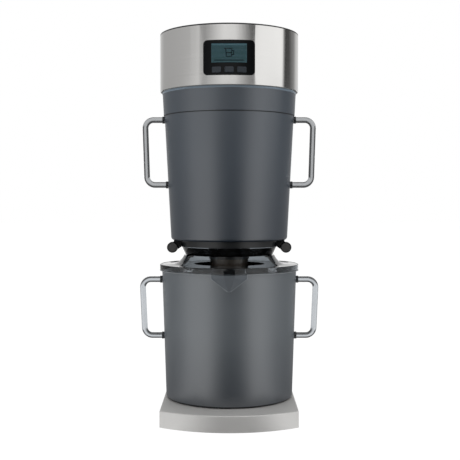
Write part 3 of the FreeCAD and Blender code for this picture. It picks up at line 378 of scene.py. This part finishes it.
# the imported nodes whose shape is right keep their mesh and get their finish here

nodeFinish = {
    "base_pad": rubberBlack, "base_housing": sheetSteel, "base_core": coverBlack,
    "pitcher_handle_right": rodLower, "pitcher_handle_left": rodLower,
    "pitcher_ferrules_right": ferruleBlack, "pitcher_ferrules_left": ferruleBlack,
    "lid_seal": siliconeGrey, "outlet_nozzle": tubeSmoke,
    "port_gasket": siliconeGrey, "valve_ring": valveBlack, "centre_bolt": plainSteel,
    "brew_vessel": brewSmoke, "brew_handle_right": rodUpper, "brew_handle_left": rodUpper,
    "brew_ferrules_right": ferruleBlack, "brew_ferrules_left": ferruleBlack,
    "filter_frame": coverBlack, "filter_mesh": plainSteel,
    "top_cover": coverBlack, "head_chassis": coverBlack, "chassis_screws": plainSteel,
    "head_seal": siliconeGrey, "shaft_seal": rubberBlack, "control_bezel": bezelBlack,
    "display_window": windowClear, "lcd_module": lcdTeal, "control_board": boardGreen,
    "button_switches": coverBlack, "gearbox": coverBlack, "drive_motor": plainSteel,
    "agitator_shaft": plainSteel, "agitator_paddle": plainSteel,
    "battery_holder": coverBlack, "battery_cells": cellBlue,
}
for nodeName, material in nodeFinish.items():
    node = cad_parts[nodeName]
    node.data.materials.clear()
    node.data.materials.append(material)
print("frame pieces finished:", len(nodeFinish))


# pitcher: satin wall with a black band painted round the foot's rounding as contact shadow, clear collar above
# the wall, so the lid's black rim shows through it

pitcherValues = {
    "bandHeight": 250.0,
    "footShadowTop": 31.4,
    "footShadowFrom": 104.0,
    "spoutStart": 117.9,
}


def makePitcher():
    v = pitcherValues
    bm = mergedCopy("pitcher_vessel")
    cutAt(bm, v["bandHeight"] * mm)
    cutAt(bm, v["footShadowTop"] * mm)
    for face in bm.faces:
        middle = face.calc_center_median()
        reach = math.hypot(middle.x, middle.y)
        if middle.z > v["bandHeight"] * mm:
            face.material_index = 1
        # spout facets take the paler copy: painted light
        elif reach > v["spoutStart"] * mm:
            face.material_index = 2
        # the foot's rounding takes the black valve plastic: painted contact shadow
        elif middle.z < v["footShadowTop"] * mm and reach > v["footShadowFrom"] * mm:
            face.material_index = 3
        else:
            face.material_index = 0
    makeSpoutEdgeHighlights(bm)
    asPiece(bm, "pitcherBody", [pitcherSmoke, collarClear, spoutLitSmoke, valveBlack], "pitcher",
            ["pitcher_vessel"])


# fine light lines where the spout runs into the wall: painted highlights, thin light rods laid on the spout's
# creases for the light their rounding catches

spoutHighlightValues = {
    "inside": 117.0,
    "outside": 121.6,
    "top": 251.0,
    "leastAngle": 14,
    "leastLength": 1.5,
    "lineRadius": 0.5,
    "lineSides": 10,
}


def makeSpoutEdgeHighlights(pitcher):
    v = spoutHighlightValues
    lines = bmesh.new()
    for edge in pitcher.edges:
        start, end = (vert.co for vert in edge.verts)
        reaches = [math.hypot(corner.x, corner.y) for corner in (start, end)]
        isNear = v["inside"] * mm < min(reaches) and max(reaches) < v["outside"] * mm
        isLow = max(start.z, end.z) < v["top"] * mm
        if not (isNear and isLow and len(edge.link_faces) == 2 and edge.calc_length() > v["leastLength"] * mm):
            continue
        if edge.calc_face_angle() < math.radians(v["leastAngle"]):
            continue
        way = end - start
        turn = way.to_track_quat("Z", "Y").to_matrix().to_4x4()
        bmesh.ops.create_cone(lines, cap_ends=True, segments=v["lineSides"], radius1=v["lineRadius"] * mm,
                              radius2=v["lineRadius"] * mm, depth=way.length,
                              matrix=Matrix.Translation((start + end) / 2) @ turn)
    asPiece(lines, "spoutEdgeHighlights", [edgeHighlightSmoke], "pitcher")


# lid: black plate and rim, smoky clear cradle standing on it

lidValues = {
    "cradleFoot": 260.6,
    "plateTop": 260.2,
    "levelFrom": 0.9,
}


def makeLid():
    v = lidValues
    bm = mergedCopy("pitcher_lid")
    cutAt(bm, v["cradleFoot"] * mm)
    for face in bm.faces:
        height = face.calc_center_median().z
        isTop = face.normal.z > v["levelFrom"] and height > v["plateTop"] * mm
        face.material_index = 1 if height > v["cradleFoot"] * mm else 2 if isTop else 0
    asPiece(bm, "lidAndCradle", [lidBlack, cradleClear, lidGloss], "lid", ["pitcher_lid"])


# receiver: a clear smoky bowl round the black drain tube and its hub

receiverValues = {
    "tubeRadius": 36.6,
}


def makeReceiver():
    bm = mergedCopy("receiver_dish")
    for face in bm.faces:
        middle = face.calc_center_median()
        face.material_index = int(math.hypot(middle.x, middle.y) > receiverValues["tubeRadius"] * mm)
    asPiece(bm, "receiverBowl", [valveBlack, bowlClear], "brewer", ["receiver_dish"])


# knobs: a black barrel with a grey face set into its front

knobValues = {
    "faceRadius": 7.9,
    "facingFrom": -0.9,
}


def makeKnob(side):
    nodeName = "valve_knob_" + side
    low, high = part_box(nodeName)
    middle = (low + high) / 2
    bm = mergedCopy(nodeName)
    for face in bm.faces:
        centre = face.calc_center_median()
        away = math.hypot(centre.x - middle.x, centre.z - middle.z)
        isFace = face.normal.y < knobValues["facingFrom"] and away < knobValues["faceRadius"] * mm
        face.material_index = int(isFace)
    asPiece(bm, "valveKnob" + side.capitalize(), [valveBlack, knobGrey], "valve", [nodeName])


makePitcher()
makeLid()
makeReceiver()
for side in ("right", "left"):
    makeKnob(side)
print("pitcher, lid, receiver and knobs made")


# head ring: brushed steel, its top edge under the top cover painted black as painted shade of the rolled edge

headRingValues = {
    "edgeShadeFoot": 655.0,
}


def makeHeadRing():
    bm = mergedCopy("head_ring")
    cutAt(bm, headRingValues["edgeShadeFoot"] * mm)
    for face in bm.faces:
        # the top edge takes the black cover plastic: painted shade
        face.material_index = int(face.calc_center_median().z > headRingValues["edgeShadeFoot"] * mm)
    asPiece(bm, "headRing", [headSteel, coverBlack], "head", ["head_ring"])


# a light ring that shows as a line under the steel ring: a painted highlight, for the light caught in the
# vessel's translucent top edge

rimValues = {
    "outer": 116.35,
    "inner": 115.6,
    "foot": 554.2,
    "top": 558.4,
    "footSlope": 0.7,
    "topSlope": 0.5,
}


def makeBrewRimHighlight():
    v = rimValues
    bm = turnedRing([(v["inner"], v["foot"]), (v["outer"], v["foot"] + v["footSlope"]),
                     (v["outer"], v["top"] - v["topSlope"]), (v["inner"], v["top"])])
    asPiece(bm, "brewRimHighlight", [rimHighlightSmoke], "brewer")


# a thin black ring under the collar's step: painted shade, standing for the shadow in the groove there

grooveShadeValues = {
    "outer": 113.0,
    "inner": 112.0,
    "footInset": 0.4,
    "height": 1.3,
    "top": 517.9,
}


def makeGrooveShade():
    v = grooveShadeValues
    foot = v["top"] - v["height"]
    bm = turnedRing([(v["inner"], foot), (v["outer"] - v["footInset"], foot), (v["outer"], v["top"]),
                     (v["inner"], v["top"])])
    asPiece(bm, "brewGrooveShade", [coverBlack], "brewer")


makeHeadRing()
makeBrewRimHighlight()
makeGrooveShade()
print("head ring, rim line and groove made")


# button caps with soft edges, bent to the bezel's round front

buttonValues = {
    "flange": 1.2,
    "cornerRadius": 1.6,
    "cornerSteps": 5,
    "edgeRound": 0.7,
    "edgeSteps": 4,
    "supportRings": [0.5, 0.8],
    "frontRadius": 122.4,
    "levelWithin": 0.01,
    "facingFrom": -0.99,
    "sharpAngle": 50,
    "bodies": {"left": "left_button", "centre": "centre_button", "right": "right_button"},
}


def bevelled(bm, edges, offset, steps):
    bmesh.ops.bevel(bm, geom=edges, offset=offset * mm, offset_type="OFFSET", segments=steps,
                    profile=0.5, affect="EDGES", material=-1)


def makeButton(side, body):
    v = buttonValues
    low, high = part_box("button_" + side)
    flanges = Vector((2, 0, 2)) * v["flange"] * mm
    bm = bmesh.new()
    bmesh.ops.create_cube(bm, size=1)
    bmesh.ops.scale(bm, vec=high - low - flanges, verts=bm.verts)
    bmesh.ops.translate(bm, vec=(low + high) / 2, verts=bm.verts)
    sides = [edge for edge in bm.edges
             if abs(edge.verts[0].co.y - edge.verts[1].co.y) > v["levelWithin"] * mm]
    bevelled(bm, sides, v["cornerRadius"], v["cornerSteps"])
    front = min(bm.faces, key=lambda face: face.calc_center_median().y)
    bevelled(bm, list(front.edges), v["edgeRound"], v["edgeSteps"])
    facing = [face for face in bm.faces if face.normal.y < v["facingFrom"]]
    front = max(facing, key=lambda face: face.calc_area())
    for thickness in v["supportRings"]:
        bmesh.ops.inset_region(bm, faces=[front], thickness=thickness * mm, depth=0)
    radius = v["frontRadius"] * mm
    for vert in bm.verts:
        vert.co.y -= math.sqrt(radius ** 2 - vert.co.x ** 2) + low.y
    asPiece(bm, "buttonCap" + side.capitalize(), [buttonSlate], body, ["button_" + side],
            v["sharpAngle"])


for side, body in buttonValues["bodies"].items():
    makeButton(side, body)
print("buttons made")


# display marks: a plain jug with its level line, and a foot line, standing on the liquid crystal

markValues = {
    "strokeWidth": 1.25,
    "thickness": 0.08,
    "middle": (0.0, 609.5),
    "strokes": [
        [(-4.6, -5.6), (-5.2, 5.0)], [(-5.2, 5.0), (-7.4, 7.2)], [(-4.6, -5.6), (3.8, -5.6)],
        [(3.8, -5.6), (4.5, 7.0)], [(4.5, 7.0), (-7.4, 7.2)], [(4.3, 3.8), (7.6, 3.4)],
        [(7.6, 3.4), (7.3, -2.8)], [(7.3, -2.8), (4.0, -3.4)], [(-4.7, 0.2), (3.9, 0.2)],
        [(-24.0, -11.8), (24.0, -11.8)],
    ],
}


def makeMarks():
    v = markValues
    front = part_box("lcd_module")[0].y
    width, thickness = v["strokeWidth"] * mm, v["thickness"] * mm
    centre = Vector((v["middle"][0] * mm, front - thickness, v["middle"][1] * mm))
    bm = bmesh.new()
    for start, end in v["strokes"]:
        first, last = (Vector((x, 0, z)) * mm for x, z in (start, end))
        way = last - first
        stroke = bmesh.ops.create_grid(bm, x_segments=1, y_segments=1, size=0.5)["verts"]
        bmesh.ops.scale(bm, vec=(way.length + width, width, 1), verts=stroke)
        for angle, axis in ((math.pi / 2, "X"), (-math.atan2(way.z, way.x), "Y")):
            bmesh.ops.rotate(bm, cent=(0, 0, 0), matrix=Matrix.Rotation(angle, 3, axis), verts=stroke)
        bmesh.ops.translate(bm, vec=(first + last) / 2 + centre, verts=stroke)
    outer = bmesh.ops.extrude_face_region(bm, geom=bm.faces[:])
    bmesh.ops.translate(bm, vec=(0, thickness, 0),
                        verts=[item for item in outer["geom"] if isinstance(item, bmesh.types.BMVert)])
    bmesh.ops.recalc_face_normals(bm, faces=bm.faces)
    asPiece(bm, "displayMarks", [lcdDark], "head")


makeMarks()
print("display marks made")


# studio: what bright metal, satin plastic and clear rods show, as (compass degrees, level) round the object;
# 0 degrees is towards the camera and 90 is to the right

studioValues = {
    "highStrips": [
        (-180, 0.9), (-152, 0.6), (-138, 0.5), (-70, 0.58), (-52, 0.75), (-45, 0.42), (-38, 0.4), (-21, 0.8),
        (-9, 1.05), (10, 1.0), (22, 0.62), (34, 0.2), (41, 0.1), (45, 1.2), (96, 1.32), (103, 0.05),
        (118, 0.1), (134, 0.34), (144, 0.7), (180, 0.9)],
    "lowStrips": [
        (-180, 1.1), (-150, 0.4), (-110, 0.3), (-84, 0.5), (-66, 1.0), (-34, 1.15), (-20, 0.5), (-8, 0.05),
        (16, 0.05), (27, 0.5), (38, 1.15), (58, 1.0), (80, 0.45), (110, 0.3), (150, 0.35), (180, 1.1)],
    "throughStrips": [
        (-180, 1), (-170, 1), (-160, 0.16), (-110, 0.16), (-100, 1), (-80, 1), (-70, 0.16), (-20, 0.16),
        (-10, 1), (10, 1), (20, 0.16), (70, 0.16), (80, 1), (100, 1), (110, 0.16), (160, 0.16), (170, 1),
        (180, 1)],
    "changeOver": (0.07, 0.12),
    "throughRise": (0.15, 0.3),
    "throughReach": (0.5, 1.1),
    "throughDark": 0.12,
    "domeDiffuse": 0.42,
    "floorSize": 14,
    "floorPaint": 0.9,
    "floorShown": 0.8,
    "floorGlow": 1.17,
}


def stripsOn(owner, vector, strips):
    # brightness by the compass direction of a vector, and the vector's height
    split = addNode(owner, "ShaderNodeSeparateXYZ")
    link(owner, vector, split.inputs["Vector"])
    turn = mathOf(owner, "ARCTAN2", split.outputs["X"], mathOf(owner, "MULTIPLY", split.outputs["Y"], -1))
    ramp = addNode(owner, "ShaderNodeValToRGB")
    link(owner, ranged(owner, turn, 0, 1, -math.pi, math.pi), ramp.inputs["Fac"])
    stops = ramp.color_ramp.elements
    while len(stops) < len(strips):
        stops.new(0.5)
    for stop, (degrees, level) in zip(stops, strips):
        stop.position = (degrees + 180) / 360
        stop.color = (level, level, level, 1)
    return ramp.outputs["Color"], split.outputs["Z"]


def background(world, colour, strength=1.0):
    node = addNode(world, "ShaderNodeBackground")
    node.inputs["Strength"].default_value = strength
    setOrLink(world, colour, node.inputs["Color"])
    return node.outputs["Background"]


def emission(material, **sockets):
    node = addNode(material, "ShaderNodeEmission")
    for socketName, value in sockets.items():
        setOrLink(material, value, node.inputs[socketName])
    return node.outputs["Emission"]


def mixedShader(owner, factor, first, second):
    mix = addNode(owner, "ShaderNodeMixShader")
    link(owner, factor, mix.inputs["Fac"])
    link(owner, first, mix.inputs[1])
    link(owner, second, mix.inputs[2])
    return mix.outputs["Shader"]


def makeDome():
    v = studioValues
    white = (1, 1, 1, 1)
    world = bpy.data.worlds.new("studioDome")
    bpy.context.scene.world = world
    world.use_nodes = True
    world.node_tree.nodes.clear()
    direction = addNode(world, "ShaderNodeTexCoord").outputs["Generated"]
    rays = addNode(world, "ShaderNodeLightPath")
    highTone, rise = stripsOn(world, direction, v["highStrips"])
    lowTone, _ = stripsOn(world, direction, v["lowStrips"])
    throughTone, _ = stripsOn(world, direction, v["throughStrips"])
    tone = blended(world, ranged(world, rise, 0, 1, *v["changeOver"]), lowTone, highTone)
    throughTone = blended(world, ranged(world, rise, 0, 1, *v["throughRise"]), throughTone,
                          toned((v["throughDark"],) * 3, 1))
    mirrored = mixedShader(world, rays.outputs["Is Glossy Ray"], background(world, white, v["domeDiffuse"]),
                           background(world, tone))
    behind = mixedShader(world, rays.outputs["Is Transmission Ray"], mirrored, background(world, throughTone))
    shown = mixedShader(world, rays.outputs["Is Camera Ray"], behind, background(world, white))
    output = addNode(world, "ShaderNodeOutputWorld")
    link(world, shown, output.inputs["Surface"])


def makeFloor():
    v = studioValues
    bm = bmesh.new()
    bmesh.ops.create_grid(bm, x_segments=1, y_segments=1, size=v["floorSize"])
    mesh = bpy.data.meshes.new("floor")
    bm.to_mesh(mesh)
    bm.free()
    floor = bpy.data.objects.new("floor", mesh)
    bpy.context.collection.objects.link(floor)
    material = newMaterial("floorWhite")
    paint = addNode(material, "ShaderNodeBsdfDiffuse")
    paint.inputs["Color"].default_value = (*(v["floorPaint"],) * 3, 1)
    place = addNode(material, "ShaderNodeTexCoord").outputs["Object"]
    rays = addNode(material, "ShaderNodeLightPath")
    tone, _ = stripsOn(material, place, v["lowStrips"])
    reach = addNode(material, "ShaderNodeVectorMath", operation="LENGTH")
    link(material, place, reach.inputs[0])
    far = ranged(material, reach.outputs["Value"], v["throughDark"], 1, *v["throughReach"])
    mirrored = mixedShader(material, rays.outputs["Is Glossy Ray"], paint.outputs["BSDF"],
                           emission(material, Color=tone))
    behind = mixedShader(material, rays.outputs["Is Transmission Ray"], mirrored,
                         emission(material, Strength=far))
    share = mathOf(material, "MULTIPLY", rays.outputs["Is Camera Ray"], v["floorShown"])
    shown = mixedShader(material, share, behind, emission(material, Strength=v["floorGlow"]))
    output = addNode(material, "ShaderNodeOutputMaterial")
    link(material, shown, output.inputs["Surface"])
    floor.data.materials.append(material)


# soft boxes: name, place, what it aims at, size and watts

softBoxValues = [
    ("sideBox1", (-1.5, -0.45, 0.5), (0, 0, 0.35), (0.5, 1.2), 9),
    ("sideBox2", (1.5, -0.45, 0.5), (0, 0, 0.35), (0.5, 1.2), 9),
    ("topBox", (0, -0.6, 1.9), (0, 0, 0.3), (1.2, 1.2), 6),
]


def makeSoftBox(name, place, aim, size, power):
    lamp = bpy.data.lights.new(name, "AREA")
    lamp.shape = "RECTANGLE"
    lamp.size, lamp.size_y = size
    lamp.energy = power
    box = bpy.data.objects.new(name, lamp)
    box.location = place
    box.rotation_mode = "QUATERNION"
    box.rotation_quaternion = (Vector(aim) - Vector(place)).to_track_quat("-Z", "Y")
    bpy.context.collection.objects.link(box)
    box.visible_glossy = False


makeDome()
makeFloor()
for softBox in softBoxValues:
    makeSoftBox(*softBox)


# camera fitted to the photograph, 460 x 460; the sensor's width is in mm, as Blender takes it

cameraValues = {
    "frameWidth": 460,
    "focalPixels": 895,
    "distance": 1.570,
    "height": 0.3682,
    "sideways": 0.0014,
    "pitchDown": 1.78,
    "sensor": 36,
}


def makeCamera():
    v = cameraValues
    data = bpy.data.cameras.new("photoCamera")
    data.sensor_width = v["sensor"]
    data.lens = v["focalPixels"] / v["frameWidth"] * v["sensor"]
    camera = bpy.data.objects.new("photoCamera", data)
    camera.location = (v["sideways"], -v["distance"], v["height"])
    camera.rotation_euler = (math.radians(90 - v["pitchDown"]), 0, 0)
    bpy.context.collection.objects.link(camera)
    bpy.context.scene.camera = camera


makeCamera()
bpy.context.scene.view_settings.view_transform = "Standard"
print("studio made")
